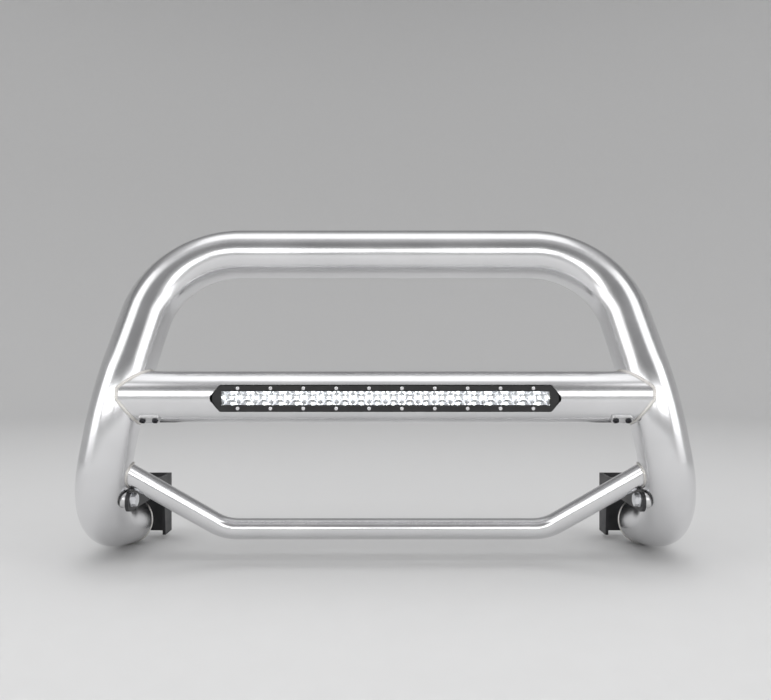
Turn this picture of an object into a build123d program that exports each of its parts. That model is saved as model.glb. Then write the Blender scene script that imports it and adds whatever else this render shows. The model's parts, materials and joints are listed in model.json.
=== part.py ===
"""Front grille guard: a bent stainless hoop with a coped crossbar that holds an LED light bar,
a small lower tube, and bolt-on steel brackets for the frame rails of a light vehicle.

Millimetres. +Z up, the front faces -Y, X runs across the vehicle. The origin is the centre of
the four frame bolts, on the brackets' rear faces. "left" is the -X side, "right" the +X side.
"""
from build123d import *
import os
from math import cos, radians, sin, sqrt, tan

os.makedirs("parts", exist_ok=True)

# ---------------------------------------------------------------- driving dimensions
# hoop and crossbar
tube_od = 76.2              # 3 in tube
tube_wall = 2.0
leg_x = 391.0               # leg centre line from the middle, at crossbar height
leg_splay = 11.0            # degrees, legs spread downwards, seen from the front
hoop_rise = 222.0           # top tube above the crossbar, axis to axis
hoop_lean = 26.0            # degrees, upper hoop leans back to the vehicle
top_bend_r = 140.0
knee_bend_r = 250.0         # slight bend of each leg at the crossbar
hook_drop = 185.0           # crossbar axis down to the corner of the hook
hook_reach = 164.0          # length of the hook behind that corner
hook_slope = 10.5           # degrees, hook points slightly down at its end
hook_bend_r = 114.3
cap_rise = 22.0             # domed end caps
cap_wall = 2.5

# lower tube
lower_od = 31.75            # 1 1/4 in tube
lower_wall = 1.6
lower_inset = 147.0         # corner of its flat middle, inside the leg centre line
lower_drop = 203.0          # its middle below the crossbar axis
lower_back = 40.0           # its middle behind the crossbar axis
lower_end_drop = 115.0      # its axis meets the leg's surface this far below the crossbar
lower_bend_r = 60.0

# place of the frame bolts below and behind the crossbar axis
mount_drop = 195.0
mount_back = 216.0

# brackets
plate = 5.0                 # plate thickness
plate_gap = 0.6             # least gap from the plate to the leg, at the plate's upper edge
arm_top_drop = 139.0        # side plate's upper edge below the crossbar axis
shelf_gap = 0.4             # least gap from the shelf to the top of the hook
arm_front = 15.0            # side plate in front of the leg bolt
leg_bolt_drop = 151.0
shelf_length = 54.0
shelf_bolt_back = 140.0
shelf_width = 66.0
flange_edge = 28.0          # hole centre to the flange's outer edge
flange_height = 100.0
frame_hole_d = 13.0
frame_hole_pitch = 70.0     # upper hole to lower hole
frame_hole_x = 412.0        # hole centre from the middle

# fasteners
bolt_d = 10.0
bolt_hole_d = 11.0
bolt_across = 17.0          # hexagon across flats
bolt_head = 6.4
bolt_grip = 16.0            # thread engaged in a boss
boss_d = 24.0
boss_reach = 24.0           # from the bracket's face into the tube
washer_d = 21.0
washer_t = 2.0
thread_fit = 0.05           # radial gap, thread to tapped hole

# light bar
light_length = 494.0        # tip to tip
light_height = 36.6
light_face = 36.6           # front face ahead of the crossbar axis
bezel_t = 4.0
window_length = 468.0
window_height = 21.0
light_cells = 10            # pairs of emitters, one screw pair between the pairs
cap_length = 10.0
cap_tip_height = 9.0
slot_gap = 1.2              # slot in the crossbar, all round the light bar
body_height = 32.0
body_wall = 2.6
body_back = 0.0             # rear of the housing's back wall, from the crossbar axis
fin_depth = 10.0
fin_t = 1.8
rib_height = 14.0
lens_t = 3.0
lens_lip = 1.6
seal_t = 1.2
reflector_depth = 11.0
cup_front_r = 9.8
cup_taper = 31.0            # degrees
board_t = 1.6
driver_length = 200.0
part_gap = 0.2              # small gap between stacked pieces

# light bar fixings
light_bolt_x = 176.0
light_bolt_d = 8.0
spacer_d = 22.0
gland_x = 60.0
gland_hole_d = 20.0
gland_clear = 6.0           # room left for the cable between the gland and the grommet

# accessory lugs, small pads on the crossbar's lower front
lug_inset = 51.0            # from the leg centre line
lug_width = 30.0
lug_height = 14.0
lug_t = 4.0                 # stands proud of the tube
lug_angle = 50.0            # degrees below the horizontal, round the tube
lug_screw_shift = 9.0
weld_size = 3.2

# ---------------------------------------------------------------- worked-out places
tube_r = tube_od / 2
bar_y = -mount_back
bar_z = mount_drop
spread = tan(radians(leg_splay))
knee_back = knee_bend_r * (1 / cos(radians(hoop_lean / 2)) - 1)
lower_flat_x = leg_x - lower_inset
lug_x = leg_x - lug_inset
sides = ((-1, "left"), (1, "right"))


def from_bar(x, y, z):
    """A point given from the middle of the crossbar's axis."""
    return Vector(x, bar_y + y, bar_z + z)


def leg_at(drop):
    """X of the leg's centre line, this far below the crossbar axis."""
    return leg_x + drop * spread


def bent_line(points, radii):
    """Straight runs joined by tangent arcs, in the current BuildLine."""
    last = points[0]
    for before, corner, after, radius in zip(points, points[1:], points[2:], radii):
        back = (before - corner).normalized()
        ahead = (after - corner).normalized()
        half = radians(back.get_angle(ahead)) / 2
        start = corner + back * (radius / tan(half))
        end = corner + ahead * (radius / tan(half))
        middle = corner + (back + ahead).normalized() * (radius / sin(half) - radius)
        Line(last, start)
        ThreePointArc(start, middle, end)
        last = end
    Line(last, points[-1])


def swept_tube(points, radii, outside, inside=0.0):
    """A tube along a bent line; solid where inside is zero."""
    with BuildPart() as tube:
        with BuildLine() as line:
            bent_line(points, radii)
        path = line.wire()
        with BuildSketch(Plane(origin=path @ 0, z_dir=path % 0)):
            Circle(outside)
            if inside > 0:
                Circle(inside, mode=Mode.SUBTRACT)
        sweep(path=path)
    return tube


# ---------------------------------------------------------------- hoop
hook_end_y = hook_reach * cos(radians(hook_slope)) - knee_back
hook_end_z = -hook_drop - hook_reach * sin(radians(hook_slope))
hoop_side = [
    from_bar(leg_at(-hoop_rise), hoop_rise * tan(radians(hoop_lean)) - knee_back, hoop_rise),
    from_bar(leg_x, -knee_back, 0),
    from_bar(leg_at(hook_drop), -knee_back, -hook_drop),
    from_bar(leg_at(hook_drop), hook_end_y, hook_end_z),
]
side_radii = [top_bend_r, knee_bend_r, hook_bend_r]
hoop_points = [Vector(-p.X, p.Y, p.Z) for p in reversed(hoop_side)] + hoop_side
hoop_radii = side_radii[::-1] + side_radii
hook_way = (hoop_side[-1] - hoop_side[-2]).normalized()

hoop_tube = swept_tube(hoop_points, hoop_radii, tube_r, tube_r - tube_wall)
hoop_envelope = swept_tube(hoop_points, hoop_radii, tube_r)

# bosses set through the hoop's wall for the bracket bolts; the side plate stands just inside
# the leg, clear of the leg's surface at the plate's upper edge
side_plane = Plane(origin=from_bar(0, 0, 0), x_dir=(0, 1, 0), z_dir=(1, 0, 0))
plate_outer_x = leg_at(arm_top_drop) - tube_r / cos(radians(leg_splay)) - plate_gap
plate_inner_x = plate_outer_x - plate
shelf_front = shelf_bolt_back - shelf_length / 2
hook_axis = -hook_drop - (shelf_front + knee_back) * tan(radians(hook_slope))
arm_bottom = hook_axis + tube_r / cos(radians(hook_slope)) + shelf_gap
leg_bolt_back = -knee_back + (leg_bolt_drop - arm_top_drop) / 2
shelf_bolt_x = leg_at(hook_drop)


def boss_cylinders(radius, reach):
    """Both bosses' axes as cylinders from the bracket's faces into the hoop, on both sides."""
    with BuildPart() as cylinders:
        for side in (-1, 1):
            with BuildSketch(side_plane.offset(side * plate_outer_x)):
                with Locations((leg_bolt_back, -leg_bolt_drop)):
                    Circle(radius)
            extrude(amount=side * reach)
            with BuildSketch(Plane.XY.offset(bar_z + arm_bottom)):
                with Locations((side * shelf_bolt_x, bar_y + shelf_bolt_back)):
                    Circle(radius)
            extrude(amount=-reach)
    return cylinders


boss_blanks = boss_cylinders(boss_d / 2, boss_reach)
boss_holes = boss_cylinders(bolt_d / 2 + thread_fit, boss_reach)
with hoop_tube:
    add(boss_blanks.part, mode=Mode.SUBTRACT)
hoop_tube.part.label = "hoop_tube"
export_step(hoop_tube.part, "parts/hoop_tube.step")

# domed caps, welded into the ends of the hooks
for side, word in sides:
    cap_base = Vector(side * hoop_side[-1].X, hoop_side[-1].Y, hoop_side[-1].Z)
    with BuildPart() as end_cap:
        with BuildSketch(Plane(origin=cap_base, x_dir=hook_way, z_dir=(1, 0, 0))):
            with BuildLine():
                Line((0, tube_r), (0, tube_r - cap_wall))
                EllipticalCenterArc((0, 0), cap_rise - cap_wall, tube_r - cap_wall, arc_size=90)
                Line((cap_rise - cap_wall, 0), (cap_rise, 0))
                EllipticalCenterArc((0, 0), cap_rise, tube_r, arc_size=90)
            make_face()
        revolve(axis=Axis(cap_base, hook_way))
    end_cap.part.label = f"hoop_end_cap_{word}"
    export_step(end_cap.part, f"parts/hoop_end_cap_{word}.step")

# ---------------------------------------------------------------- light bar outline
half_light = light_length / 2
half_height = light_height / 2
face_y = -light_face
cap_x = half_light - cap_length


def light_outline(grow):
    """The pointed outline of the light bar, grown all round, in the current sketch."""
    tip = half_light + grow
    high = half_height + grow
    nose = cap_tip_height / 2 + grow / 2
    Polygon(
        (-cap_x, high), (cap_x, high), (tip, nose), (tip, -nose),
        (cap_x, -high), (-cap_x, -high), (-tip, -nose), (-tip, nose), align=None,
    )


front_plane = Plane(origin=from_bar(0, 0, 0), x_dir=(1, 0, 0), z_dir=(0, -1, 0))
rear_plane = Plane(origin=from_bar(0, 0, 0), x_dir=(-1, 0, 0), z_dir=(0, 1, 0))

# ---------------------------------------------------------------- crossbar
crossbar_half = leg_x - 0.2 * tube_r
grommet_hole_r = gland_hole_d / 2
with BuildPart() as crossbar_tube:
    with BuildSketch(side_plane):
        Circle(tube_r)
        Circle(tube_r - tube_wall, mode=Mode.SUBTRACT)
    extrude(amount=crossbar_half, both=True)
    add(hoop_envelope.part, mode=Mode.SUBTRACT)
    with BuildSketch(front_plane):
        light_outline(slot_gap)
    extrude(amount=tube_od, mode=Mode.SUBTRACT)
    with BuildSketch(rear_plane):
        with Locations((-light_bolt_x, 0), (light_bolt_x, 0)):
            Circle(light_bolt_d / 2 + 0.5)
        with Locations((-gland_x, 0)):
            Circle(grommet_hole_r)
    extrude(amount=tube_od, mode=Mode.SUBTRACT)
crossbar_tube.part.label = "crossbar_tube"
export_step(crossbar_tube.part, "parts/crossbar_tube.step")

# ---------------------------------------------------------------- lower tube
leg_surface_x = leg_at(lower_end_drop) - tube_r / cos(radians(leg_splay))
meet = from_bar(leg_surface_x, 0, -lower_end_drop)
flat_corner = from_bar(lower_flat_x, lower_back, -lower_drop)
lower_end = meet + (meet - flat_corner).normalized() * tube_r * 0.8
lower_side = [flat_corner, lower_end]
lower_points = [Vector(-p.X, p.Y, p.Z) for p in reversed(lower_side)] + lower_side
lower_radii = [lower_bend_r, lower_bend_r]
lower_tube = swept_tube(lower_points, lower_radii, lower_od / 2, lower_od / 2 - lower_wall)
with lower_tube:
    add(hoop_envelope.part, mode=Mode.SUBTRACT)
lower_tube.part.label = "lower_tube"
export_step(lower_tube.part, "parts/lower_tube.step")

# ---------------------------------------------------------------- weld beads
hoop_weld_shell = swept_tube(hoop_points, hoop_radii, tube_r + weld_size)
for side, word in sides:
    with BuildPart() as crossbar_weld:
        with BuildSketch(side_plane):
            Circle(tube_r + weld_size)
            Circle(tube_r, mode=Mode.SUBTRACT)
        extrude(amount=side * crossbar_half)
        add(hoop_weld_shell.part, mode=Mode.INTERSECT)
        add(hoop_envelope.part, mode=Mode.SUBTRACT)
    crossbar_weld.part.label = f"crossbar_weld_{word}"
    export_step(crossbar_weld.part, f"parts/crossbar_weld_{word}.step")

lower_solid = swept_tube(lower_points, lower_radii, lower_od / 2)
lower_weld_ring = swept_tube(lower_points, lower_radii, lower_od / 2 + weld_size)
for side, word in sides:
    with BuildPart() as lower_weld:
        add(lower_weld_ring.part)
        add(lower_solid.part, mode=Mode.SUBTRACT)
        add(hoop_weld_shell.part, mode=Mode.INTERSECT)
        add(hoop_envelope.part, mode=Mode.SUBTRACT)
        split(bisect_by=Plane.YZ, keep=Keep.TOP if side > 0 else Keep.BOTTOM)
    lower_weld.part.label = f"lower_weld_{word}"
    export_step(lower_weld.part, f"parts/lower_weld_{word}.step")

# ---------------------------------------------------------------- accessory lugs
lug_out = Vector(0, -cos(radians(lug_angle)), -sin(radians(lug_angle)))
lug_plane = Plane(origin=from_bar(0, 0, 0), x_dir=(1, 0, 0), z_dir=lug_out)
lug_root = tube_r * 0.9
lug_face = tube_r + lug_t
lug_screw_r = 2.0
lug_screw_depth = lug_t - 0.5
for side, word in sides:
    with BuildPart() as lug:
        with BuildSketch(lug_plane.offset(lug_root)):
            with Locations((side * lug_x, 0)):
                RectangleRounded(lug_width, lug_height, 4)
        extrude(amount=lug_face - lug_root)
        with BuildSketch(side_plane.offset(side * lug_x)):
            Circle(tube_r)
        extrude(amount=lug_width, both=True, mode=Mode.SUBTRACT)
        with BuildSketch(lug_plane.offset(lug_face)):
            with Locations((side * lug_x, 0)):
                with GridLocations(2 * lug_screw_shift, 0, 2, 1):
                    Circle(lug_screw_r + thread_fit)
        extrude(amount=-lug_screw_depth, mode=Mode.SUBTRACT)
    lug.part.label = f"accessory_lug_{word}"
    export_step(lug.part, f"parts/accessory_lug_{word}.step")

lug_shifts = (-lug_screw_shift, lug_screw_shift)
lug_screw_places = [(side * lug_x + shift, 0) for side in (-1, 1) for shift in lug_shifts]
with BuildPart() as lug_screws:
    with BuildSketch(lug_plane.offset(lug_face)):
        with Locations(*lug_screw_places):
            Circle(4.5)
    extrude(amount=2.4, taper=12)
    with BuildSketch(lug_plane.offset(lug_face)):
        with Locations(*lug_screw_places):
            Circle(lug_screw_r)
    extrude(amount=-lug_screw_depth + 0.2)
    with BuildSketch(lug_plane.offset(lug_face + 2.4)):
        with Locations(*lug_screw_places):
            RegularPolygon(radius=1.6, side_count=6)
    extrude(amount=-1.5, mode=Mode.SUBTRACT)
lug_screws.part.label = "accessory_lug_screws"
export_step(lug_screws.part, "parts/accessory_lug_screws.step")

# ---------------------------------------------------------------- brackets
hole_drop = frame_hole_pitch / 2
flange_mid = -mount_drop
flange_low = flange_mid - flange_height / 2
flange_high = flange_mid + flange_height / 2
flange_width = frame_hole_x + flange_edge - plate_inner_x

for side, word in sides:
    outward = Plane(origin=from_bar(side * plate_inner_x, 0, 0), x_dir=(0, 1, 0), z_dir=(1, 0, 0))
    with BuildPart() as bracket:
        # side plate
        with BuildSketch(outward):
            with BuildLine():
                Polyline(
                    (leg_bolt_back - arm_front, -arm_top_drop), (120, -arm_top_drop),
                    (170, flange_high), (mount_back, flange_high), (mount_back, flange_low),
                    (178, flange_low), (shelf_front + shelf_length + 4, arm_bottom),
                    (leg_bolt_back - arm_front, arm_bottom), close=True,
                )
            make_face()
        extrude(amount=side * plate)
        front_edges = bracket.edges().filter_by(Axis.X).group_by(Axis.Y)[0]
        fillet(front_edges, arm_front - 2)
        # shelf over the hook
        outer = -1 if side > 0 else 0
        with BuildSketch(Plane.XY.offset(bar_z + arm_bottom)) as shelf:
            with Locations((side * (plate_inner_x + shelf_width / 2), bar_y + shelf_bolt_back)):
                Rectangle(shelf_width, shelf_length)
            fillet(shelf.vertices().group_by(Axis.X)[outer], 10)
        extrude(amount=plate)
        # rear flange
        with BuildSketch(Plane.XZ.offset(plate)) as flange:
            with Locations((side * (plate_inner_x + flange_width / 2), 0)):
                Rectangle(flange_width, flange_height)
            fillet(flange.vertices().group_by(Axis.X)[outer], 10)
        extrude(amount=-plate)
        # bolt holes
        with BuildSketch(outward.offset(-plate)):
            with Locations((leg_bolt_back, -leg_bolt_drop)):
                Circle(bolt_hole_d / 2)
        extrude(amount=3 * plate, mode=Mode.SUBTRACT)
        with BuildSketch(Plane.XY.offset(bar_z + arm_bottom - plate)):
            with Locations((side * shelf_bolt_x, bar_y + shelf_bolt_back)):
                Circle(bolt_hole_d / 2)
        extrude(amount=3 * plate, mode=Mode.SUBTRACT)
        with BuildSketch(Plane.XZ.offset(-plate)):
            with Locations((side * frame_hole_x, hole_drop), (side * frame_hole_x, -hole_drop)):
                Circle(frame_hole_d / 2)
        extrude(amount=3 * plate, mode=Mode.SUBTRACT)
    bracket.part.label = f"frame_bracket_{word}"
    export_step(bracket.part, f"parts/frame_bracket_{word}.step")

# bosses, tapped for the bracket bolts
for side, word in sides:
    with BuildPart() as bosses:
        add(boss_blanks.part)
        add(boss_holes.part, mode=Mode.SUBTRACT)
        split(bisect_by=Plane.YZ, keep=Keep.TOP if side > 0 else Keep.BOTTOM)
    bosses.part.label = f"bracket_bosses_{word}"
    export_step(bosses.part, f"parts/bracket_bosses_{word}.step")

# ---------------------------------------------------------------- bracket fasteners
leg_seats = [
    Plane(origin=from_bar(side * plate_inner_x, leg_bolt_back, -leg_bolt_drop), z_dir=(-side, 0, 0))
    for side in (-1, 1)
]
shelf_seats = [
    Plane(origin=from_bar(side * shelf_bolt_x, shelf_bolt_back, arm_bottom + plate))
    for side in (-1, 1)
]
bolt_seats = leg_seats + shelf_seats


def washers(seats, hole, across, thick):
    """Flat washers on the given seats."""
    with BuildPart() as rings:
        for seat in seats:
            with BuildSketch(seat):
                Circle(across / 2)
                Circle(hole / 2, mode=Mode.SUBTRACT)
            extrude(amount=thick)
        rims = rings.edges().filter_by(GeomType.CIRCLE).filter_by(lambda e: e.radius > hole / 2 + 0.1)
        chamfer(rims, 0.3)
    return rings


def hex_bolts(seats, size, across, head, shank, seat_gap):
    """Hexagon bolts whose heads stand seat_gap above the seats; shank counts from the head."""
    corner_r = across / sqrt(3)
    with BuildPart() as bolts:
        for seat in seats:
            under = seat.offset(seat_gap)
            with BuildSketch(under):
                RegularPolygon(radius=corner_r, side_count=6)
            extrude(amount=head)
            with BuildSketch(under.offset(head)):
                Circle(across / 2 - 0.3)
            extrude(amount=0.4)
            with BuildSketch(under):
                Circle(size / 2)
            extrude(amount=-shank)
    return bolts


bracket_bolts = hex_bolts(
    bolt_seats, bolt_d, bolt_across, bolt_head, washer_t + plate + bolt_grip, washer_t
)
bracket_bolts.part.label = "bracket_bolts"
export_step(bracket_bolts.part, "parts/bracket_bolts.step")
bracket_washers = washers(bolt_seats, bolt_d + 1, washer_d, washer_t)
bracket_washers.part.label = "bracket_washers"
export_step(bracket_washers.part, "parts/bracket_washers.step")

# ---------------------------------------------------------------- light bar housing
# an extrusion with a front chamber for the optics and a closed rear chamber for the driver
shell_front = -light_face + bezel_t
body_half = body_height / 2
chamber_half = body_half - body_wall
lens_front = shell_front + part_gap
lens_back = lens_front + lens_t - 1
seal_back = lens_back + seal_t
reflector_front = seal_back
reflector_back = reflector_front + reflector_depth
board_front = reflector_back + part_gap
web_front = board_front + board_t
web_back = web_front + 3
cell = window_length / light_cells
screw_x = [cell * (index - (light_cells - 1) / 2) for index in range(light_cells)]
screw_z = (half_height + window_height / 2) / 2
fin_step = (body_half - rib_height / 2 - fin_t) / 2
boss_r = 2.8
boss_y = body_back - 3 - boss_r + 0.3
boss_z = chamber_half - boss_r + 0.3
rib_screw_z = rib_height / 2 - 3
cap_screw_places = [(boss_y, -boss_z), (boss_y, boss_z)]
cap_screw_places += [(body_back + fin_depth / 2, z) for z in (-rib_screw_z, rib_screw_z)]

with BuildPart() as light_housing:
    with BuildSketch(side_plane.offset(-cap_x)):
        with Locations(((shell_front + body_back) / 2, 0)):
            Rectangle(body_back - shell_front, body_height)
        with Locations(((shell_front + web_front) / 2, 0)):
            Rectangle(web_front - shell_front, 2 * chamber_half, mode=Mode.SUBTRACT)
        with Locations(((web_back + body_back - 3) / 2, 0)):
            Rectangle(body_back - 3 - web_back, 2 * chamber_half, mode=Mode.SUBTRACT)
        with Locations((boss_y, -boss_z), (boss_y, boss_z)):
            Circle(boss_r)
        with Locations((body_back + fin_depth / 2, 0)):
            Rectangle(fin_depth, rib_height)
        for level in (fin_step, 2 * fin_step):
            for way in (-1, 1):
                with Locations((body_back + fin_depth / 2, way * (rib_height / 2 + level + fin_t / 2))):
                    Rectangle(fin_depth, fin_t)
    extrude(amount=2 * cap_x)
    with BuildSketch(front_plane.offset(light_face - bezel_t)):
        with Locations(*[(x, z) for x in screw_x for z in (-screw_z, screw_z)]):
            Circle(1.3)
    extrude(amount=-7, mode=Mode.SUBTRACT)
    with BuildSketch(side_plane.offset(-cap_x)):
        with Locations(*cap_screw_places):
            Circle(1.3)
    extrude(amount=10, mode=Mode.SUBTRACT)
    with BuildSketch(side_plane.offset(cap_x)):
        with Locations(*cap_screw_places):
            Circle(1.3)
    extrude(amount=-10, mode=Mode.SUBTRACT)
    with BuildSketch(rear_plane.offset(body_back + fin_depth)):
        with Locations((-light_bolt_x, 0), (light_bolt_x, 0)):
            Circle(light_bolt_d / 2 + thread_fit)
    extrude(amount=-9, mode=Mode.SUBTRACT)
    with BuildSketch(rear_plane.offset(body_back + fin_depth)):
        with Locations((-gland_x, 0)):
            Circle(6.05)
        with Locations((gland_x, 0)):
            Circle(4.05)
    extrude(amount=-fin_depth - 4, mode=Mode.SUBTRACT)
light_housing.part.label = "light_housing"
export_step(light_housing.part, "parts/light_housing.step")

# ---------------------------------------------------------------- light bar front
with BuildPart() as light_bezel:
    with BuildSketch(front_plane.offset(light_face - bezel_t)):
        Rectangle(2 * cap_x, light_height)
        RectangleRounded(window_length, window_height, 1.5, mode=Mode.SUBTRACT)
        with Locations(*[(x, z) for x in screw_x for z in (-screw_z, screw_z)]):
            Circle(1.5, mode=Mode.SUBTRACT)
    extrude(amount=bezel_t)
light_bezel.part.label = "light_bezel"
export_step(light_bezel.part, "parts/light_bezel.step")

with BuildPart() as bezel_screws:
    with BuildSketch(front_plane.offset(light_face)):
        with Locations(*[(x, z) for x in screw_x for z in (-screw_z, screw_z)]):
            Circle(2.7)
    extrude(amount=1.4)
    fillet(bezel_screws.edges().group_by(Axis.Y)[0], 0.9)
    with BuildSketch(front_plane.offset(light_face)):
        with Locations(*[(x, z) for x in screw_x for z in (-screw_z, screw_z)]):
            Circle(1.25)
    extrude(amount=-bezel_t - 6)
    with BuildSketch(front_plane.offset(light_face + 1.4)):
        with Locations(*[(x, z) for x in screw_x for z in (-screw_z, screw_z)]):
            RegularPolygon(radius=0.9, side_count=6)
    extrude(amount=-0.9, mode=Mode.SUBTRACT)
bezel_screws.part.label = "bezel_screws"
export_step(bezel_screws.part, "parts/bezel_screws.step")

with BuildPart() as light_lens:
    with BuildSketch(front_plane.offset(-lens_back)):
        RectangleRounded(2 * cap_x - 2, window_height + 2 * lens_lip - 0.4, 2)
    extrude(amount=lens_back - lens_front)
    with BuildSketch(front_plane.offset(-lens_front)):
        RectangleRounded(window_length - 0.4, window_height - 0.4, 1.3)
    extrude(amount=lens_t)
light_lens.part.label = "light_lens"
export_step(light_lens.part, "parts/light_lens.step")

with BuildPart() as lens_seal:
    with BuildSketch(front_plane.offset(-seal_back)):
        RectangleRounded(2 * cap_x - 2, window_height + 2 * lens_lip - 0.4, 2)
        Rectangle(2 * cap_x - 6, window_height - 1.6, mode=Mode.SUBTRACT)
    extrude(amount=seal_t)
lens_seal.part.label = "lens_seal"
export_step(lens_seal.part, "parts/lens_seal.step")

# ---------------------------------------------------------------- optics and electronics
emitter_count = 2 * light_cells
with BuildPart() as reflector:
    with BuildSketch(front_plane.offset(-reflector_back)):
        Rectangle(2 * cap_x - 4, 2 * chamber_half - 1)
    extrude(amount=reflector_depth)
    with BuildSketch(rear_plane.offset(reflector_front)):
        with GridLocations(cell / 2, 0, emitter_count, 1):
            Circle(cup_front_r)
    extrude(amount=reflector_depth, taper=cup_taper, mode=Mode.SUBTRACT)
reflector.part.label = "reflector"
export_step(reflector.part, "parts/reflector.step")

with BuildPart() as led_board:
    with BuildSketch(rear_plane.offset(board_front)):
        Rectangle(2 * cap_x - 4, 2 * chamber_half - 1)
    extrude(amount=board_t)
led_board.part.label = "led_board"
export_step(led_board.part, "parts/led_board.step")

with BuildPart() as emitters:
    with BuildSketch(front_plane.offset(-board_front)):
        with GridLocations(cell / 2, 0, emitter_count, 1):
            Rectangle(3.5, 3.5)
    extrude(amount=0.7)
    with BuildSketch(front_plane.offset(-board_front + 0.7)):
        with GridLocations(cell / 2, 0, emitter_count, 1):
            Circle(1.4)
    extrude(amount=0.7, taper=30)
emitters.part.label = "led_emitters"
export_step(emitters.part, "parts/led_emitters.step")

driver_front = web_back + 0.4
with BuildPart() as driver_board:
    with BuildSketch(rear_plane.offset(driver_front)):
        Rectangle(driver_length, 2 * chamber_half - 2)
    extrude(amount=board_t)
driver_board.part.label = "driver_board"
export_step(driver_board.part, "parts/driver_board.step")

part_height = body_back - 3 - part_gap - driver_front - board_t
with BuildPart() as driver_parts:
    with BuildSketch(rear_plane.offset(driver_front + board_t)):
        with GridLocations(driver_length / 4, 0, 4, 1):
            Circle(6.5)
            Circle(2.5, mode=Mode.SUBTRACT)
        with Locations(*[(driver_length * (index - 1) / 4, 3.4) for index in range(3)]):
            RectangleRounded(9, 6, 1)
        with Locations(*[(driver_length * (index - 1) / 4, -3.4) for index in range(3)]):
            Circle(3)
    extrude(amount=part_height)
driver_parts.part.label = "driver_parts"
export_step(driver_parts.part, "parts/driver_parts.step")

# ---------------------------------------------------------------- light bar ends
head_floor = cap_x + 1.6
for side, word in sides:
    with BuildPart() as light_cap:
        with BuildSketch(front_plane.offset(light_face)):
            light_outline(0)
        extrude(amount=-bezel_t)
        with BuildSketch(front_plane.offset(light_face - bezel_t)):
            light_outline(-(half_height - body_half))
        extrude(amount=-(body_back + fin_depth - shell_front))
        with BuildSketch(side_plane):
            Rectangle(4 * tube_od, 4 * tube_od)
        extrude(amount=cap_x, both=True, mode=Mode.SUBTRACT)
        with BuildSketch(side_plane.offset(side * head_floor)):
            with Locations(*cap_screw_places):
                Circle(2.8)
        extrude(amount=side * cap_length, mode=Mode.SUBTRACT)
        with BuildSketch(side_plane.offset(side * cap_x)):
            with Locations(*cap_screw_places):
                Circle(1.5)
        extrude(amount=side * cap_length, mode=Mode.SUBTRACT)
        split(bisect_by=Plane.YZ, keep=Keep.TOP if side > 0 else Keep.BOTTOM)
    light_cap.part.label = f"light_end_cap_{word}"
    export_step(light_cap.part, f"parts/light_end_cap_{word}.step")

with BuildPart() as cap_screws:
    for side in (-1, 1):
        with BuildSketch(side_plane.offset(side * head_floor)):
            with Locations(*cap_screw_places):
                Circle(2.3)
                RegularPolygon(radius=0.9, side_count=6, mode=Mode.SUBTRACT)
        extrude(amount=side * 1.5)
        with BuildSketch(side_plane.offset(side * head_floor)):
            with Locations(*cap_screw_places):
                Circle(1.25)
        extrude(amount=-side * 9)
cap_screws.part.label = "end_cap_screws"
export_step(cap_screws.part, "parts/end_cap_screws.step")

# ---------------------------------------------------------------- light bar fixings
rib_back = body_back + fin_depth
bore_r = tube_r - tube_wall
grommet_lip_r = grommet_hole_r + 3
lip_front = sqrt(bore_r ** 2 - grommet_lip_r ** 2) - 0.3
gland_room = lip_front - 2 - gland_clear - rib_back
gland_flange = gland_room * 4 / 15
nut_length = gland_room * 6 / 15
dome_length = gland_room * 5 / 15
nut_front = rib_back + gland_flange + 0.3
with BuildPart() as light_spacers:
    with BuildSketch(rear_plane.offset(rib_back)):
        with Locations((-light_bolt_x, 0), (light_bolt_x, 0)):
            Circle(spacer_d / 2)
            Circle(light_bolt_d / 2 + 0.5, mode=Mode.SUBTRACT)
    extrude(amount=tube_od)
    with BuildSketch(side_plane):
        Circle(bore_r)
    extrude(amount=light_bolt_x + spacer_d, both=True, mode=Mode.INTERSECT)
light_spacers.part.label = "light_spacers"
export_step(light_spacers.part, "parts/light_spacers.step")

saddle_back = tube_r + 2.4
with BuildPart() as saddle_washers:
    with BuildSketch(rear_plane.offset(tube_r * 0.8)):
        with Locations((-light_bolt_x, 0), (light_bolt_x, 0)):
            Circle(spacer_d / 2)
            Circle(light_bolt_d / 2 + 0.5, mode=Mode.SUBTRACT)
    extrude(amount=saddle_back - tube_r * 0.8)
    with BuildSketch(side_plane):
        Circle(tube_r)
    extrude(amount=light_bolt_x + spacer_d, both=True, mode=Mode.SUBTRACT)
saddle_washers.part.label = "saddle_washers"
export_step(saddle_washers.part, "parts/saddle_washers.step")

light_seats = [
    Plane(origin=from_bar(side * light_bolt_x, saddle_back, 0), z_dir=(0, 1, 0))
    for side in (-1, 1)
]
light_bolts = hex_bolts(light_seats, light_bolt_d, 13.0, 5.3, saddle_back - rib_back + 8, 0)
light_bolts.part.label = "light_bolts"
export_step(light_bolts.part, "parts/light_bolts.step")

# cable gland with its dome nut, the rubber grommet behind it, and a breather
with BuildPart() as gland_body:
    with BuildSketch(rear_plane.offset(body_back - 2)):
        with Locations((-gland_x, 0)):
            Circle(6)
    extrude(amount=fin_depth + 2)
    with BuildSketch(rear_plane.offset(rib_back)):
        with Locations((-gland_x, 0)):
            RegularPolygon(radius=8.7, side_count=6)
    extrude(amount=gland_flange)
    with BuildSketch(rear_plane.offset(rib_back + gland_flange)):
        with Locations((-gland_x, 0)):
            Circle(6)
    extrude(amount=nut_length)
    with BuildSketch(rear_plane.offset(body_back - 2)):
        with Locations((-gland_x, 0)):
            Circle(3.2)
    extrude(amount=tube_od, mode=Mode.SUBTRACT)
gland_body.part.label = "gland_body"
export_step(gland_body.part, "parts/gland_body.step")

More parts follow.
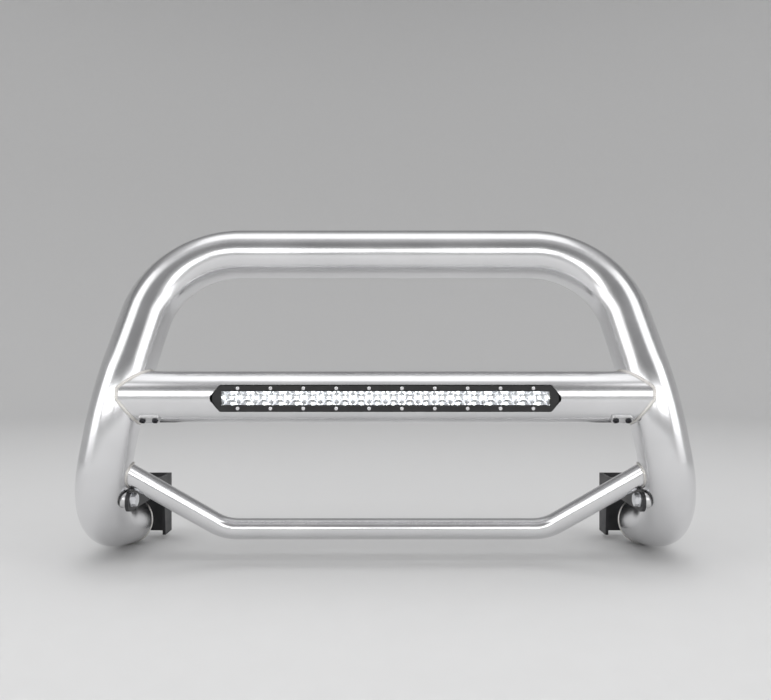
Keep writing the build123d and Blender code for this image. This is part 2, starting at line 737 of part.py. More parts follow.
with BuildPart() as gland_nut:
    with BuildSketch(rear_plane.offset(nut_front)):
        with Locations((-gland_x, 0)):
            RegularPolygon(radius=8.7, side_count=6)
    extrude(amount=nut_length)
    with BuildSketch(rear_plane.offset(nut_front + nut_length)):
        with Locations((-gland_x, 0)):
            Circle(7.2)
    extrude(amount=dome_length, taper=18)
    with BuildSketch(rear_plane.offset(nut_front)):
        with Locations((-gland_x, 0)):
            Circle(6.05)
    extrude(amount=nut_length - 0.1, mode=Mode.SUBTRACT)
    with BuildSketch(rear_plane.offset(rib_back)):
        with Locations((-gland_x, 0)):
            Circle(3.4)
    extrude(amount=tube_od, mode=Mode.SUBTRACT)
gland_nut.part.label = "gland_nut"
export_step(gland_nut.part, "parts/gland_nut.step")

gland_axis = Axis(from_bar(gland_x, 0, 0), (0, 1, 0))
with BuildPart() as grommet:
    with BuildSketch(Plane(origin=from_bar(gland_x, 0, 0), x_dir=(1, 0, 0), z_dir=(0, 0, 1))):
        Polygon(
            (4, lip_front - 2), (grommet_lip_r - 1, lip_front - 2), (grommet_lip_r, lip_front),
            (grommet_hole_r - 0.1, lip_front), (grommet_hole_r - 0.1, tube_r),
            (grommet_lip_r, tube_r), (grommet_lip_r - 1, tube_r + 2.2), (4, tube_r + 2.2),
            align=None,
        )
    revolve(axis=gland_axis)
grommet.part.label = "cable_grommet"
export_step(grommet.part, "parts/cable_grommet.step")

with BuildPart() as breather:
    with BuildSketch(rear_plane.offset(body_back - 2)):
        with Locations((gland_x, 0)):
            Circle(4)
    extrude(amount=fin_depth + 2)
    with BuildSketch(rear_plane.offset(rib_back)):
        with Locations((gland_x, 0)):
            RegularPolygon(radius=6.3, side_count=6)
    extrude(amount=3)
    with BuildSketch(rear_plane.offset(rib_back + 3)):
        with Locations((gland_x, 0)):
            Circle(4.6)
    extrude(amount=2)
    with BuildSketch(rear_plane.offset(body_back - 2)):
        with Locations((gland_x, 0)):
            Circle(1)
    extrude(amount=fin_depth + 5, mode=Mode.SUBTRACT)
breather.part.label = "breather_vent"
export_step(breather.part, "parts/breather_vent.step")
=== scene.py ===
"""Looks of the front grille guard: polished stainless tubes, welds, a slim light bar and black brackets."""
import bpy
import json
from math import asin, cos, pi, radians, sin, sqrt, tan
from mathutils import Matrix, Vector
from mathutils.kdtree import KDTree


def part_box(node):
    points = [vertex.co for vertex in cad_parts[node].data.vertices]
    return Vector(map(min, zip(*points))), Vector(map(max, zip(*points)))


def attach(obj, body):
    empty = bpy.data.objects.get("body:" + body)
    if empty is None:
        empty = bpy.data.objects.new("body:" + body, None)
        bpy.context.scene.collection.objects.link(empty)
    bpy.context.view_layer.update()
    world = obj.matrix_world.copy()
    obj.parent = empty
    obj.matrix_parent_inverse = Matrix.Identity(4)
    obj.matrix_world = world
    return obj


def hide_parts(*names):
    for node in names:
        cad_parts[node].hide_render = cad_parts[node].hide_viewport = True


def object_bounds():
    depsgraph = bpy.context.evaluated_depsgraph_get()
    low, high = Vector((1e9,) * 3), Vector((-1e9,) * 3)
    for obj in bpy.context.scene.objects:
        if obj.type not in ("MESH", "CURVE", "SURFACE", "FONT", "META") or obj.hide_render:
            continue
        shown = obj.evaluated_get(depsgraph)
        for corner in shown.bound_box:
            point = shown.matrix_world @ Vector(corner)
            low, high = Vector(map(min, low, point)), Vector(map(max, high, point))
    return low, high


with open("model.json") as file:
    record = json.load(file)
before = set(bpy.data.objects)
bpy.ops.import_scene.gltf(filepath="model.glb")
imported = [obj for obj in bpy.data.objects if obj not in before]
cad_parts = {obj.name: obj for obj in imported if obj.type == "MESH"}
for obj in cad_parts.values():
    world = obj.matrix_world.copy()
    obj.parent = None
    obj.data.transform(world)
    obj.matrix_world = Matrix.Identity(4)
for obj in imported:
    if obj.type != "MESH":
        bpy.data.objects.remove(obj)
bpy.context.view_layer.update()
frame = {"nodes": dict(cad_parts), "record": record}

nodes = frame["nodes"]
scene = bpy.context.scene

# ---------------------------------------------------------------- places, from the frame, in metres
bar_low, bar_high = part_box("crossbar_tube")
bar = Vector((0, (bar_low.y + bar_high.y) / 2, (bar_low.z + bar_high.z) / 2))
tube_r = (bar_high.z - bar_low.z) / 2
tube_wall = 0.002

# sizes shared with the CAD source
leg_x = 0.391
leg_splay = radians(11)
hoop_rise = 0.222
hoop_lean = radians(26)
top_bend_r = 0.140
knee_bend_r = 0.250
hook_drop = 0.185
hook_reach = 0.164
hook_slope = radians(10.5)
hook_bend_r = 0.1143
cap_rise = 0.022
cap_wall = 0.0025
lower_r = 0.031750 / 2
lower_wall = 0.0016
lower_flat_x = leg_x - 0.147
lower_drop = 0.203
lower_back = 0.040
lower_end_drop = 0.115
lower_bend_r = 0.060
light_cells = 10
window_length = 0.468
cup_back_r = 0.0032
slot_gap = 0.0012
knee_back = knee_bend_r * (1 / cos(hoop_lean / 2) - 1)


def from_bar(x, y, z):
    return bar + Vector((x, y, z))


def leg_at(drop):
    return leg_x + drop * tan(leg_splay)


# ---------------------------------------------------------------- mesh helpers
def add_piece(name, verts, faces, replaced=(), uvs=None, sharp=35.0):
    """A mesh piece that rides on the guard, smooth but for edges sharper than the given angle."""
    mesh = bpy.data.meshes.new(name)
    mesh.from_pydata([tuple(v) for v in verts], [], faces)
    if uvs is not None:
        layer = mesh.uv_layers.new(name="along_and_round")
        for polygon in mesh.polygons:
            corners = [uvs[mesh.loops[i].vertex_index] for i in polygon.loop_indices]
            span = max(c[1] for c in corners) - min(c[1] for c in corners)
            wrap = span > 0.5 * uvs[-1][2]
            for index, corner in zip(polygon.loop_indices, corners):
                round_way = corner[1]
                if wrap and round_way < 0.25 * uvs[-1][2]:
                    round_way += uvs[-1][2]
                layer.data[index].uv = (corner[0], round_way)
    mesh.validate()
    mesh.update()
    mesh.shade_smooth()
    mesh.set_sharp_from_angle(angle=radians(sharp))
    piece = bpy.data.objects.new(name, mesh)
    scene.collection.objects.link(piece)
    if replaced:
        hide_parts(*replaced)
    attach(piece, "root")
    return piece


def bent_path(points, radii, run_step=0.02, turn_step=radians(2)):
    """Points along straight runs joined by tangent arcs."""
    path = [points[0].copy()]

    def run_to(end):
        start = path[-1].copy()
        count = max(1, round((end - start).length / run_step))
        for index in range(1, count + 1):
            path.append(start.lerp(end, index / count))

    for before, corner, after, radius in zip(points, points[1:], points[2:], radii):
        back = (before - corner).normalized()
        ahead = (after - corner).normalized()
        half = back.angle(ahead) / 2
        reach = radius / tan(half)
        run_to(corner + back * reach)
        centre = corner + (back + ahead).normalized() * (radius / sin(half))
        arm = path[-1] - centre
        turn = pi - 2 * half
        axis = back.cross(ahead).normalized()
        count = max(2, round(turn / turn_step))
        for index in range(1, count + 1):
            path.append(centre + Matrix.Rotation(-turn * index / count, 3, axis) @ arm)
    run_to(points[-1])
    return path


def path_frames(path, closed=False):
    """A tangent and two carried normals at each point of a path."""
    frames = []
    side = None
    last = None
    for index, point in enumerate(path):
        if closed:
            way = (path[(index + 1) % len(path)] - path[index - 1]).normalized()
        else:
            way = (path[min(index + 1, len(path) - 1)] - path[max(index - 1, 0)]).normalized()
        if side is None:
            side = way.orthogonal().normalized()
        else:
            side = last.rotation_difference(way) @ side
            side = (side - way * side.dot(way)).normalized()
        last = way
        frames.append((point, way, side, way.cross(side)))
    return frames


def lengths(path):
    total = [0.0]
    for a, b in zip(path, path[1:]):
        total.append(total[-1] + (b - a).length)
    return total


def ring_faces(first, second, count):
    return [(first + i, first + (i + 1) % count, second + (i + 1) % count, second + i) for i in range(count)]


# ---------------------------------------------------------------- hoop
hook_end_y = hook_reach * cos(hook_slope) - knee_back
hook_end_z = -hook_drop - hook_reach * sin(hook_slope)
hoop_side = [
    from_bar(leg_at(-hoop_rise), hoop_rise * tan(hoop_lean) - knee_back, hoop_rise),
    from_bar(leg_x, -knee_back, 0),
    from_bar(leg_at(hook_drop), -knee_back, -hook_drop),
    from_bar(leg_at(hook_drop), hook_end_y, hook_end_z),
]
side_radii = [top_bend_r, knee_bend_r, hook_bend_r]
hoop_points = [Vector((-p.x, p.y, p.z)) for p in reversed(hoop_side)] + hoop_side
hoop_radii = side_radii[::-1] + side_radii
hoop_path = bent_path(hoop_points, hoop_radii)
hoop_fine = bent_path(hoop_points, hoop_radii, 0.001, radians(0.4))
hoop_tree = KDTree(len(hoop_fine))
for index, point in enumerate(hoop_fine):
    hoop_tree.insert(point, index)
hoop_tree.balance()


def hoop_gap(point):
    """Distance from a point to the hoop's outer surface; negative inside."""
    return hoop_tree.find(point)[2] - tube_r


def reach_hoop(point, way, low, high):
    """How far along a direction a point meets the hoop's surface."""
    for step in range(30):
        middle = (low + high) / 2
        if hoop_gap(point + way * middle) > 0:
            low = middle
        else:
            high = middle
    return low


def sweep_rings(path, radius, count):
    """Rings of vertices along a path, with their places along and around it."""
    verts, uvs = [], []
    along = lengths(path)
    for (point, way, side, up), far in zip(path_frames(path), along):
        for index in range(count):
            angle = 2 * pi * index / count
            verts.append(point + (side * cos(angle) + up * sin(angle)) * radius)
            uvs.append((far, angle * radius, 2 * pi * radius))
    return verts, uvs


def hollow_tube(path, outside, inside, count):
    """A closed tube wall: outer skin, inner skin and the two end faces."""
    verts, uvs = sweep_rings(path, outside, count)
    inner_path = path[::3] + ([path[-1]] if (len(path) - 1) % 3 else [])
    inner, inner_uvs = sweep_rings(inner_path, inside, count)
    start = len(verts)
    faces = []
    for ring in range(len(path) - 1):
        faces += ring_faces(ring * count, (ring + 1) * count, count)
    for ring in range(len(inner_path) - 1):
        faces += ring_faces(start + (ring + 1) * count, start + ring * count, count)
    faces += ring_faces(start, 0, count)
    faces += ring_faces((len(path) - 1) * count, start + (len(inner_path) - 1) * count, count)
    return verts + inner, faces, uvs + inner_uvs


verts, faces, uvs = hollow_tube(hoop_path, tube_r, tube_r - tube_wall, 112)
add_piece("hoop_skin", verts, faces, ["hoop_tube"], uvs)


# ---------------------------------------------------------------- domed caps and their seams
def lathe(profile, origin, way, count, name, replaced=(), closed=False):
    """A profile of (along, radius) turned about an axis."""
    side = way.orthogonal().normalized()
    up = way.cross(side)
    verts, faces, starts = [], [], []
    for along, radius in profile:
        starts.append(len(verts))
        if radius < 1e-7:
            verts.append(origin + way * along)
            continue
        for index in range(count):
            angle = 2 * pi * index / count
            verts.append(origin + way * along + (side * cos(angle) + up * sin(angle)) * radius)
    pairs = list(zip(range(len(profile)), range(1, len(profile))))
    if closed:
        pairs.append((len(profile) - 1, 0))
    for a, b in pairs:
        point_a, point_b = profile[a][1] < 1e-7, profile[b][1] < 1e-7
        for index in range(count):
            after = (index + 1) % count
            if point_a and point_b:
                continue
            if point_a:
                faces.append((starts[a], starts[b] + after, starts[b] + index))
            elif point_b:
                faces.append((starts[a] + index, starts[a] + after, starts[b]))
            else:
                faces.append((starts[a] + index, starts[a] + after, starts[b] + after, starts[b] + index))
    return add_piece(name, verts, faces, replaced)


cap_bead_half = 0.0014
cap_bead_rise = 0.0011
quarter = [radians(90 * index / 14) for index in range(15)]
outer_dome = [(cap_rise * sin(a), tube_r * cos(a) if a < radians(90) else 0.0) for a in quarter]
inner_dome = [((cap_rise - cap_wall) * sin(a), (tube_r - cap_wall) * cos(a)) for a in quarter[:-1]]
inner_dome.append((cap_rise - cap_wall, 0.0))
outer_dome[-1] = (cap_rise, 0.0)
hook_way = (hoop_side[-1] - hoop_side[-2]).normalized()
for side, word in ((-1, "left"), (1, "right")):
    base = Vector((side * hoop_side[-1].x, hoop_side[-1].y, hoop_side[-1].z))
    profile = inner_dome[::-1] + outer_dome
    lathe(profile, base, hook_way, 96, f"cap_dome_{word}", [f"hoop_end_cap_{word}"])
    turns = [2 * pi * index / 10 for index in range(10)]
    bead = [(cap_bead_half * cos(a), tube_r + cap_bead_rise * sin(a)) for a in turns]
    lathe(bead, base, hook_way, 96, f"cap_bead_{word}", closed=True)

# ---------------------------------------------------------------- crossbar with its slot
bezel_low, bezel_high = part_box("light_bezel")
tip_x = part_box("light_end_cap_right")[1].x
cap_x = bezel_high.x
slot_high = (bezel_high.z - bezel_low.z) / 2 + slot_gap
slot_nose = 0.0045 + slot_gap / 2
slot_tip = tip_x + slot_gap
nose_depth = 0.002


def slot_half_height(x):
    """Half the slot's height at this distance from the middle."""
    far = abs(x)
    if far <= cap_x:
        return slot_high
    if far <= slot_tip:
        return slot_high + (slot_nose - slot_high) * (far - cap_x) / (slot_tip - cap_x)
    if far < slot_tip + nose_depth:
        return slot_nose * sqrt(1 - ((far - slot_tip) / nose_depth) ** 2)
    return 0.0


row_count = 120
end_start = 0.330


def crossbar_angle(x, row):
    """Angle round the crossbar from the front, upwards, for a row between the slot's two edges."""
    edge = asin(min(1.0, slot_half_height(x) / tube_r))
    return edge + (2 * pi - 2 * edge) * row / row_count


def round_bar(x, angle, radius):
    return from_bar(x, -radius * cos(angle), radius * sin(angle))


half_columns = [cap_x * index / 24 for index in range(25)]
half_columns += [cap_x + (slot_tip - cap_x) * index / 6 for index in range(1, 7)]
half_columns += [slot_tip + nose_depth * sin(radians(90 * index / 5)) for index in range(1, 6)]
half_columns += [slot_tip + nose_depth + (end_start - slot_tip - nose_depth) * i / 6 for i in range(1, 7)]
end_columns = [index / 8 for index in range(1, 9)]
limit_x = leg_x - 0.2 * tube_r
end_reach = []
for row in range(row_count):
    angle = 2 * pi * row / row_count
    start = round_bar(end_start, angle, tube_r)
    end_reach.append(min(limit_x - end_start, reach_hoop(start, Vector((1, 0, 0)), 0, limit_x - end_start)))


def crossbar_columns(radius):
    """Vertex rows of one skin, with the slot left open and the ends coped to the legs."""
    verts, uvs, columns = [], [], []
    spots = [(-x, None) for x in reversed(half_columns[1:])] + [(x, None) for x in half_columns]
    spots = [(-1, t) for t in reversed(end_columns)] + spots + [(1, t) for t in end_columns]
    for spot, share in spots:
        open_slot = share is None and slot_half_height(spot) > 1e-6
        column = []
        for row in range(row_count + 1):
            if row == row_count and not open_slot:
                column.append(column[0])
                continue
            if share is None:
                x = spot
                angle = crossbar_angle(spot, row)
            else:
                angle = 2 * pi * row / row_count
                x = spot * (end_start + share * end_reach[row % row_count])
            column.append(len(verts))
            verts.append(round_bar(x, angle, radius))
            uvs.append((x + 1, angle * tube_r, 2 * pi * tube_r))
        columns.append((column, open_slot))
    return verts, uvs, columns


outer_verts, outer_uvs, outer_columns = crossbar_columns(tube_r)
inner_verts, inner_uvs, inner_columns = crossbar_columns(tube_r - tube_wall)
verts = outer_verts + inner_verts
uvs = outer_uvs + inner_uvs
shift = len(outer_verts)
faces = []
for (left, left_open), (right, right_open) in zip(outer_columns, outer_columns[1:]):
    for row in range(row_count):
        faces.append((left[row], left[row + 1], right[row + 1], right[row]))
for (left, left_open), (right, right_open) in zip(inner_columns, inner_columns[1:]):
    for row in range(row_count):
        a, b, c, d = left[row], right[row], right[row + 1], left[row + 1]
        faces.append((a + shift, b + shift, c + shift, d + shift))
for index in range(len(outer_columns) - 1):
    left, left_open = outer_columns[index]
    right, right_open = outer_columns[index + 1]
    if not (left_open or right_open):
        continue
    for row in (0, row_count):
        a, b = left[row], right[row]
        c = inner_columns[index + 1][0][row] + shift
        d = inner_columns[index][0][row] + shift
        faces.append((a, b, c, d) if row == 0 else (b, a, d, c))
for column, inner_column, turned in ((0, 0, False), (-1, -1, True)):
    ring, inner_ring = outer_columns[column][0], inner_columns[inner_column][0]
    for row in range(row_count):
        face = (ring[row], inner_ring[row] + shift, inner_ring[row + 1] + shift, ring[row + 1])
        faces.append(face[::-1] if turned else face)
crossbar = add_piece("crossbar_skin", verts, faces, ["crossbar_tube"], uvs, 40)
lip = crossbar.modifiers.new("slot_lip", "BEVEL")
lip.width = 0.0005
lip.segments = 3
lip.limit_method = "ANGLE"
lip.angle_limit = radians(50)

# ---------------------------------------------------------------- lower tube
leg_surface_x = leg_at(lower_end_drop) - tube_r / cos(leg_splay)
meet = from_bar(leg_surface_x, 0, -lower_end_drop)
flat_corner = from_bar(lower_flat_x, lower_back, -lower_drop)
lower_way = (meet - flat_corner).normalized()
lower_stop = meet - lower_way * lower_r * 1.6
lower_points = [Vector((-lower_stop.x, lower_stop.y, lower_stop.z))]
lower_points += [Vector((-flat_corner.x, flat_corner.y, flat_corner.z)), flat_corner, lower_stop]
lower_path = bent_path(lower_points, [lower_bend_r, lower_bend_r])
lower_count = 72
verts, faces, uvs = hollow_tube(lower_path, lower_r, lower_r - lower_wall, lower_count)
outer_last = (len(lower_path) - 1) * lower_count
lower_seams = []
for start, way in ((0, Vector((-lower_way.x, lower_way.y, lower_way.z))), (outer_last, lower_way)):
    seam = []
    for index in range(start, start + lower_count):
        verts[index] = verts[index] + way * reach_hoop(verts[index], way, 0, 0.08)
        seam.append(verts[index].copy())
    lower_seams.append(seam)
add_piece("lower_skin", verts, faces, ["lower_tube"], uvs)


# ---------------------------------------------------------------- weld beads
def weld_bead(name, seam, outward, replaced, radius=0.0023, pitch=0.0028):
    """A rippled bead along a closed seam; outward gives the open side at a point."""
    total = sum((seam[i] - seam[i - 1]).length for i in range(len(seam)))
    count = round(total / pitch) * 5
    line, far, index = [], 0.0, 0
    edge = (seam[1] - seam[0]).length
    for step in range(count):
        target = total * step / count
        while far + edge < target:
            far += edge
            index += 1
            edge = (seam[(index + 1) % len(seam)] - seam[index % len(seam)]).length
        share = (target - far) / max(edge, 1e-9)
        line.append(seam[index % len(seam)].lerp(seam[(index + 1) % len(seam)], share))
    verts, faces = [], []
    segments = 12
    for step, (point, way, side, up) in enumerate(path_frames(line, closed=True)):
        out = outward(point)
        out = (out - way * out.dot(way)).normalized()
        across = way.cross(out)
        ripple = abs(sin(pi * step / 5))
        wander = 1 + 0.05 * sin(0.11 * step) + 0.04 * sin(0.043 * step + 1)
        size = radius * wander * (0.90 + 0.13 * ripple)
        for segment in range(segments):
            angle = 2 * pi * segment / segments
            lag = way * (-0.35 * size * cos(angle))
            verts.append(point + out * 0.0004 + out * cos(angle) * size + across * sin(angle) * size + lag)
    for step in range(count):
        faces += ring_faces(step * segments, ((step + 1) % count) * segments, segments)
    return add_piece(name, verts, faces, replaced)


def hoop_normal(point):
    return (point - hoop_tree.find(point)[0]).normalized()


def bar_and_hoop(point):
    around = Vector((0, point.y - bar.y, point.z - bar.z)).normalized()
    return around + hoop_normal(point)


for side, word in ((-1, "left"), (1, "right")):
    seam = []
    for row in range(row_count):
        seam.append(round_bar(side * (end_start + end_reach[row]), 2 * pi * row / row_count, tube_r))
    weld_bead(f"crossbar_bead_{word}", seam, bar_and_hoop, [f"crossbar_weld_{word}"])

for (side, word), seam in zip(((-1, "left"), (1, "right")), lower_seams):
    centre = sum(seam, Vector()) / len(seam)
    weld_bead(
        f"lower_bead_{word}", seam,
        lambda point: (point - centre).normalized() + hoop_normal(point),
        [f"lower_weld_{word}"], 0.0020,
    )

# ---------------------------------------------------------------- reflector cups
reflector_low, reflector_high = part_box("reflector")
cup_front = reflector_low.y
cup_back = reflector_high.y
cup_pitch = window_length / light_cells / 2
cup_wall = 0.0005
mouth_x = cup_pitch / 2 - cup_wall
mouth_up = 0.0110
cup_steps = 40
cup_rings = 10
square_power = 60.0         # near enough a rectangle
mouth_power = 6.0           # added at the mouth, none at the root


def reflector_piece():
    """A metallised plate with a row of cups, rounded-square at the mouth and round at the root."""
    verts, faces = [], []
    half_z = (reflector_high.z - reflector_low.z) / 2

    def add_ring(centre_x, y, half_x, half_up, power=2.0):
        """A ring that is an ellipse at power 2 and comes near a rectangle as the power grows."""
        start = len(verts)
        for step in range(cup_steps):
            angle = 2 * pi * (step + 0.5) / cup_steps
            grow = (abs(cos(angle)) ** power + abs(sin(angle)) ** power) ** (-1 / power)
            x, z = half_x * cos(angle) * grow, half_up * sin(angle) * grow
            verts.append(Vector((centre_x + x, y, bar.z + z)))
        return start

    for cup in range(2 * light_cells):
        centre_x = cup_pitch * (cup - light_cells + 0.5)
        border = add_ring(centre_x, cup_front, cup_pitch / 2, half_z, square_power)
        rings = [border]
        for ring in range(cup_rings + 1):
            share = ring / cup_rings
            open_share = sqrt(1 - share)
            half_x = cup_back_r + (mouth_x - cup_back_r) * open_share
            half_up = cup_back_r + (mouth_up - cup_back_r) * open_share
            y = cup_front + (cup_back - cup_front) * share
            rings.append(add_ring(centre_x, y, half_x, half_up, 2.0 + mouth_power * open_share))
        behind = add_ring(centre_x, cup_back, cup_pitch / 2, half_z, square_power)
        rings.append(behind)
        for first, second in zip(rings, rings[1:]):
            faces.extend(ring_faces(first, second, cup_steps))
        faces.extend(ring_faces(behind, border, cup_steps))
    return add_piece("reflector_cups", verts, faces, ["reflector"], sharp=30)


reflector_piece()

# ---------------------------------------------------------------- softened edges on the CAD pieces
soft_edges = {
    "frame_bracket_left": 0.0008, "frame_bracket_right": 0.0008,
    "accessory_lug_left": 0.0004, "accessory_lug_right": 0.0004,
    "light_bezel": 0.0004, "light_end_cap_left": 0.0004, "light_end_cap_right": 0.0004,
    "light_lens": 0.0003, "bracket_bolts": 0.0003, "light_bolts": 0.0003,
    "gland_body": 0.0002, "gland_nut": 0.0002, "breather_vent": 0.0002,
}
for name, width in soft_edges.items():
    bevel = nodes[name].modifiers.new("soft_edge", "BEVEL")
    bevel.width = width
    bevel.segments = 2
    bevel.limit_method = "ANGLE"
    bevel.angle_limit = radians(40)
    bevel.harden_normals = False


# ---------------------------------------------------------------- materials
def new_material(name):
    material = bpy.data.materials.new(name)
    material.use_nodes = True
    tree = material.node_tree
    shader = tree.nodes["Principled BSDF"]
    return material, tree, shader


def noise(tree, scale, detail=4.0, roughness=0.5, stretch=(1, 1, 1), source="Object"):
    """Noise in object or UV coordinates, stretched by a mapping."""
    place = tree.nodes.new("ShaderNodeTexCoord")
    mapping = tree.nodes.new("ShaderNodeMapping")
    mapping.inputs["Scale"].default_value = stretch
    texture = tree.nodes.new("ShaderNodeTexNoise")
    texture.inputs["Scale"].default_value = scale
    texture.inputs["Detail"].default_value = detail
    texture.inputs["Roughness"].default_value = roughness
    tree.links.new(place.outputs[source], mapping.inputs["Vector"])
    tree.links.new(mapping.outputs["Vector"], texture.inputs["Vector"])
    return texture.outputs["Fac"]


def ramp(tree, value, low, high, start=0.3, end=0.7):
    """Maps a value between two numbers or two colours."""
    mix = tree.nodes.new("ShaderNodeValToRGB")
    mix.color_ramp.elements[0].position = start
    mix.color_ramp.elements[1].position = end
    for element, colour in zip(mix.color_ramp.elements, (low, high)):
        element.color = (colour,) * 3 + (1,) if isinstance(colour, float) else (*colour, 1)
    tree.links.new(value, mix.inputs["Fac"])
    return mix.outputs["Color"]


def bump(tree, shader, layers):
    """Adds height layers of (value, distance, strength) to a shader's normal."""
    last = None
    for value, distance, strength in layers:
        node = tree.nodes.new("ShaderNodeBump")
        node.inputs["Distance"].default_value = distance
        node.inputs["Strength"].default_value = strength
        tree.links.new(value, node.inputs["Height"])
        if last is not None:
            tree.links.new(last, node.inputs["Normal"])
        last = node.outputs["Normal"]
    tree.links.new(last, shader.inputs["Normal"])


def steel(name, colour, rough, source, grain_stretch, grain_scale, grain_depth):
    """Polished steel: fine belt lines, faint clouding and a few smears."""
    material, tree, shader = new_material(name)
    shader.inputs["Metallic"].default_value = 1.0
    grain = noise(tree, grain_scale, 3.0, 0.6, grain_stretch, source)
    cloud = noise(tree, 9.0, 5.0, 0.6)
    darker = tuple(channel * 0.93 for channel in colour)
    tree.links.new(ramp(tree, cloud, darker, colour, 0.35, 0.65), shader.inputs["Base Color"])
    blend = tree.nodes.new("ShaderNodeMath")
    blend.operation = "MULTIPLY_ADD"
    tree.links.new(grain, blend.inputs[0])
    blend.inputs[1].default_value = 0.35
    tree.links.new(cloud, blend.inputs[2])
    rough_out = ramp(tree, blend.outputs["Value"], rough * 0.82, rough * 1.25, 0.35, 0.95)
    tree.links.new(rough_out, shader.inputs["Roughness"])
    bump(tree, shader, [(grain, 0.00002, grain_depth)])
    return material


def plain(name, colour, metallic, rough, grain_scale, grain_strength, spread=0.15):
    """Paint, plastic, rubber or plating with a fine even grain."""
    material, tree, shader = new_material(name)
    shader.inputs["Metallic"].default_value = metallic
    grain = noise(tree, grain_scale, 3.0, 0.55)
    cloud = noise(tree, 40.0, 4.0, 0.6)
    low = tuple(channel * (1 - spread) for channel in colour)
    high = tuple(min(1.0, channel * (1 + spread)) for channel in colour)
    tree.links.new(ramp(tree, cloud, low, high), shader.inputs["Base Color"])
    tree.links.new(ramp(tree, cloud, rough * 0.85, rough * 1.15), shader.inputs["Roughness"])
    bump(tree, shader, [(grain, 0.0001, grain_strength)])
    return material


stainless = (0.80, 0.80, 0.81)
materials = {
    "polished_stainless": steel(
        "stainless_polished", stainless, 0.20, "UV", (3200, 14, 1), 1.0, 0.10
    ),
    "satin_stainless": steel("stainless_satin", (0.72, 0.72, 0.72), 0.34, "Object", (1, 1, 1), 700.0, 0.25),
    "weld": steel("weld_bead", (0.74, 0.72, 0.69), 0.33, "Object", (1, 1, 1), 900.0, 0.35),
    "black_steel": plain("powder_black", (0.018, 0.018, 0.020), 0.0, 0.46, 1400.0, 0.45),
    "zinc": plain("zinc_plate", (0.74, 0.75, 0.77), 1.0, 0.30, 500.0, 0.08, 0.06),
    "black_screw": plain("black_oxide", (0.045, 0.045, 0.05), 0.9, 0.42, 900.0, 0.12),
    "stainless_screw": plain("screw_stainless", (0.82, 0.82, 0.83), 1.0, 0.24, 700.0, 0.06, 0.05),
    "black_aluminium": plain("anodised_black", (0.03, 0.03, 0.033), 0.6, 0.40, 1100.0, 0.18),
    "bezel_black": plain("bezel_paint", (0.012, 0.012, 0.013), 0.0, 0.36, 1500.0, 0.22),
    "seal_rubber": plain("rubber_black", (0.022, 0.022, 0.023), 0.0, 0.62, 800.0, 0.30),
    "mirror_plastic": plain("reflector_metal", (0.93, 0.93, 0.94), 1.0, 0.26, 300.0, 0.02, 0.03),
    "board_white": plain("solder_mask_white", (0.80, 0.81, 0.79), 0.0, 0.35, 500.0, 0.08, 0.04),
    "board_green": plain("solder_mask_green", (0.02, 0.16, 0.07), 0.0, 0.32, 500.0, 0.08),
    "component_dark": plain("component_body", (0.05, 0.05, 0.055), 0.0, 0.50, 700.0, 0.15),
    "black_nylon": plain("nylon_black", (0.025, 0.025, 0.026), 0.0, 0.52, 900.0, 0.25),
}


def lens_material():
    """Clear polycarbonate with the faintest texture."""
    material, tree, shader = new_material("lens_clear")
    shader.inputs["Base Color"].default_value = (0.97, 0.985, 1.0, 1)
    shader.inputs["Transmission Weight"].default_value = 1.0
    shader.inputs["IOR"].default_value = 1.49
    haze = noise(tree, 60.0, 4.0, 0.6)
    tree.links.new(ramp(tree, haze, 0.06, 0.14), shader.inputs["Roughness"])
    bump(tree, shader, [(noise(tree, 220.0, 2.0, 0.5), 0.00005, 0.04)])
    return material


emitter_strength = 7.0


def emitter_material():
    """Phosphor of the emitters, lit."""
    material, tree, shader = new_material("emitter_phosphor")
    warm = noise(tree, 900.0, 2.0, 0.5)
    tree.links.new(ramp(tree, warm, (0.90, 0.80, 0.42), (0.98, 0.90, 0.55)), shader.inputs["Base Color"])
    shader.inputs["Emission Color"].default_value = (0.93, 0.97, 1.0, 1)
    shader.inputs["Emission Strength"].default_value = emitter_strength
    shader.inputs["Roughness"].default_value = 0.4
    return material


materials["clear_lens"] = lens_material()
materials["emitter_yellow"] = emitter_material()

slot_of = {entry["node"]: entry["material_slot"] for entry in frame["record"]["subparts"]}
for name, node in nodes.items():
    for slot in node.material_slots:
        slot.material = materials[slot_of[name]]
piece_slots = {
    "hoop_skin": "polished_stainless", "crossbar_skin": "polished_stainless",
    "lower_skin": "polished_stainless",
    "cap_dome_left": "satin_stainless", "cap_dome_right": "satin_stainless",
    "cap_bead_left": "weld", "cap_bead_right": "weld",
    "crossbar_bead_left": "weld", "crossbar_bead_right": "weld",
    "lower_bead_left": "weld", "lower_bead_right": "weld", "reflector_cups": "mirror_plastic",
}
for name, slot in piece_slots.items():
    bpy.data.objects[name].data.materials.append(materials[slot])

# ---------------------------------------------------------------- studio
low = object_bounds()[0]
floor_radius = 4.6
floor_rise = 3.2
floor_bend = 1.6
floor_sides = 96


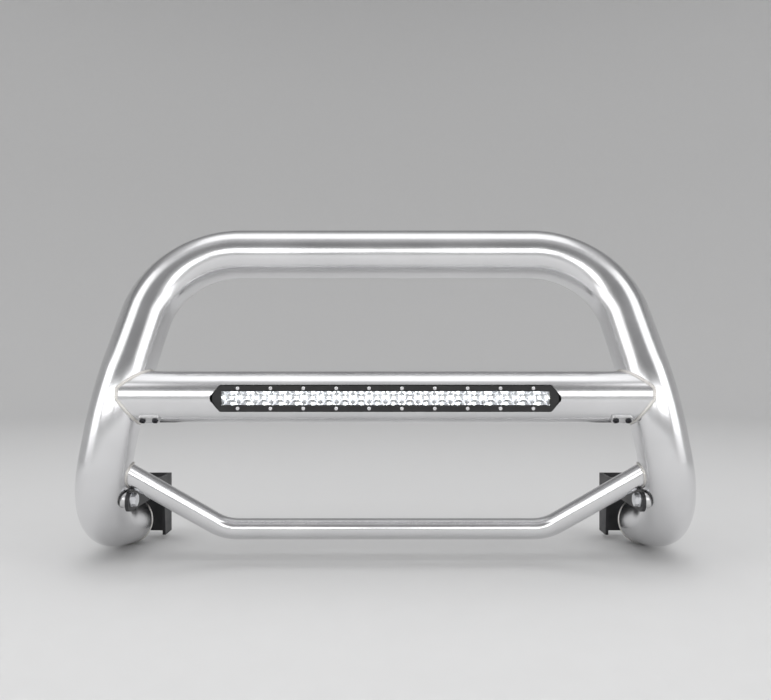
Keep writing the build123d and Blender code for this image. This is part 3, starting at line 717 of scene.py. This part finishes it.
def studio_floor():
    """A pale round floor whose rim curves up into a backdrop."""
    flat = floor_radius - floor_bend
    profile = [(flat * step / 6, 0.0) for step in range(1, 7)]
    for step in range(1, 17):
        angle = radians(90) * step / 16
        profile.append((flat + floor_bend * sin(angle), floor_bend * (1 - cos(angle))))
    profile.append((floor_radius, floor_rise))
    verts = [(0.0, bar.y, low.z)]
    for radius, height in profile:
        for step in range(floor_sides):
            angle = 2 * pi * step / floor_sides
            verts.append((radius * cos(angle), bar.y + radius * sin(angle), low.z + height))
    faces = [(0, 1 + (step + 1) % floor_sides, 1 + step) for step in range(floor_sides)]
    for ring in range(len(profile) - 1):
        faces.extend(ring_faces(1 + ring * floor_sides, 1 + (ring + 1) * floor_sides, floor_sides))
    mesh = bpy.data.meshes.new("studio_floor")
    mesh.from_pydata(verts, [], faces)
    mesh.shade_smooth()
    floor = bpy.data.objects.new("studio_floor", mesh)
    scene.collection.objects.link(floor)
    mesh.materials.append(plain("floor_paint", (0.62, 0.62, 0.62), 0.0, 0.80, 60.0, 0.05, 0.01))


def soft_light(name, place, target, width, height, radiance, mirrored=True):
    """A rectangular soft light aimed at a point, out of the camera's sight."""
    data = bpy.data.lights.new(name, "AREA")
    data.shape = "RECTANGLE"
    data.size = width
    data.size_y = height
    data.energy = radiance * width * height * pi
    light = bpy.data.objects.new(name, data)
    light.location = place
    light.rotation_mode = "QUATERNION"
    light.rotation_quaternion = (Vector(target) - Vector(place)).to_track_quat("-Z", "Y")
    light.visible_camera = False
    light.visible_glossy = mirrored
    scene.collection.objects.link(light)


studio_floor()
for side in (-1, 1):
    soft_light(f"front_{side}", from_bar(1.05 * side, -2.5, 0.80), bar, 1.95, 0.75, 2.6)
    soft_light(f"side_{side}", from_bar(2.6 * side, -1.3, 0.75), bar, 1.6, 1.7, 1.25)
    soft_light(f"high_{side}", from_bar(2.2 * side, -1.3, 2.2), bar, 1.8, 1.8, 1.3)
soft_light("overhead", from_bar(0, 0.1, 2.7), bar, 2.6, 1.6, 0.8)
soft_light("room_fill", from_bar(0, 0, 3.4), bar, 5.0, 5.0, 0.9, mirrored=False)


# from straight down (0) past the horizon (0.5) to straight up (1), with the light's strength there
world_bands = (
    (0.44, 0.40), (0.50, 0.26), (0.58, 0.44), (0.70, 0.40), (0.78, 0.22), (0.88, 0.28), (0.94, 0.52),
)


def studio_world():
    """Soft surrounding light with darker bands that draw the edges of the polished tubes."""
    world = bpy.data.worlds.new("studio")
    world.use_nodes = True
    tree = world.node_tree
    background = tree.nodes["Background"]
    place = tree.nodes.new("ShaderNodeTexCoord")
    split = tree.nodes.new("ShaderNodeSeparateXYZ")
    shade = tree.nodes.new("ShaderNodeValToRGB")
    scale = tree.nodes.new("ShaderNodeMapRange")
    scale.inputs["From Min"].default_value = -1.0
    tree.links.new(place.outputs["Generated"], split.inputs["Vector"])
    tree.links.new(split.outputs["Z"], scale.inputs["Value"])
    tree.links.new(scale.outputs["Result"], shade.inputs["Fac"])
    elements = shade.color_ramp.elements
    elements[0].position, elements[0].color = 0.0, (0.50, 0.50, 0.50, 1)
    elements[1].position, elements[1].color = 1.0, (0.60, 0.60, 0.61, 1)
    for position, value in world_bands:
        elements.new(position).color = (value, value, value * 1.01, 1)
    tree.links.new(shade.outputs["Color"], background.inputs["Color"])
    background.inputs["Strength"].default_value = 1.0
    scene.world = world


studio_world()

# the photograph's viewpoint: level, straight ahead, a little above the crossbar, fairly close
camera_ahead = 1.15
camera_above = 0.069
camera_data = bpy.data.cameras.new("camera")
camera = bpy.data.objects.new("camera", camera_data)
camera.location = from_bar(0, -camera_ahead, camera_above)
camera.rotation_mode = "QUATERNION"
camera.rotation_quaternion = Vector((0, 1, 0)).to_track_quat("-Z", "Y")
camera_data.sensor_width = 36
camera_data.lens = 36.5
scene.collection.objects.link(camera)
scene.camera = camera
scene.view_settings.view_transform = "Standard"
scene.view_settings.look = "None"
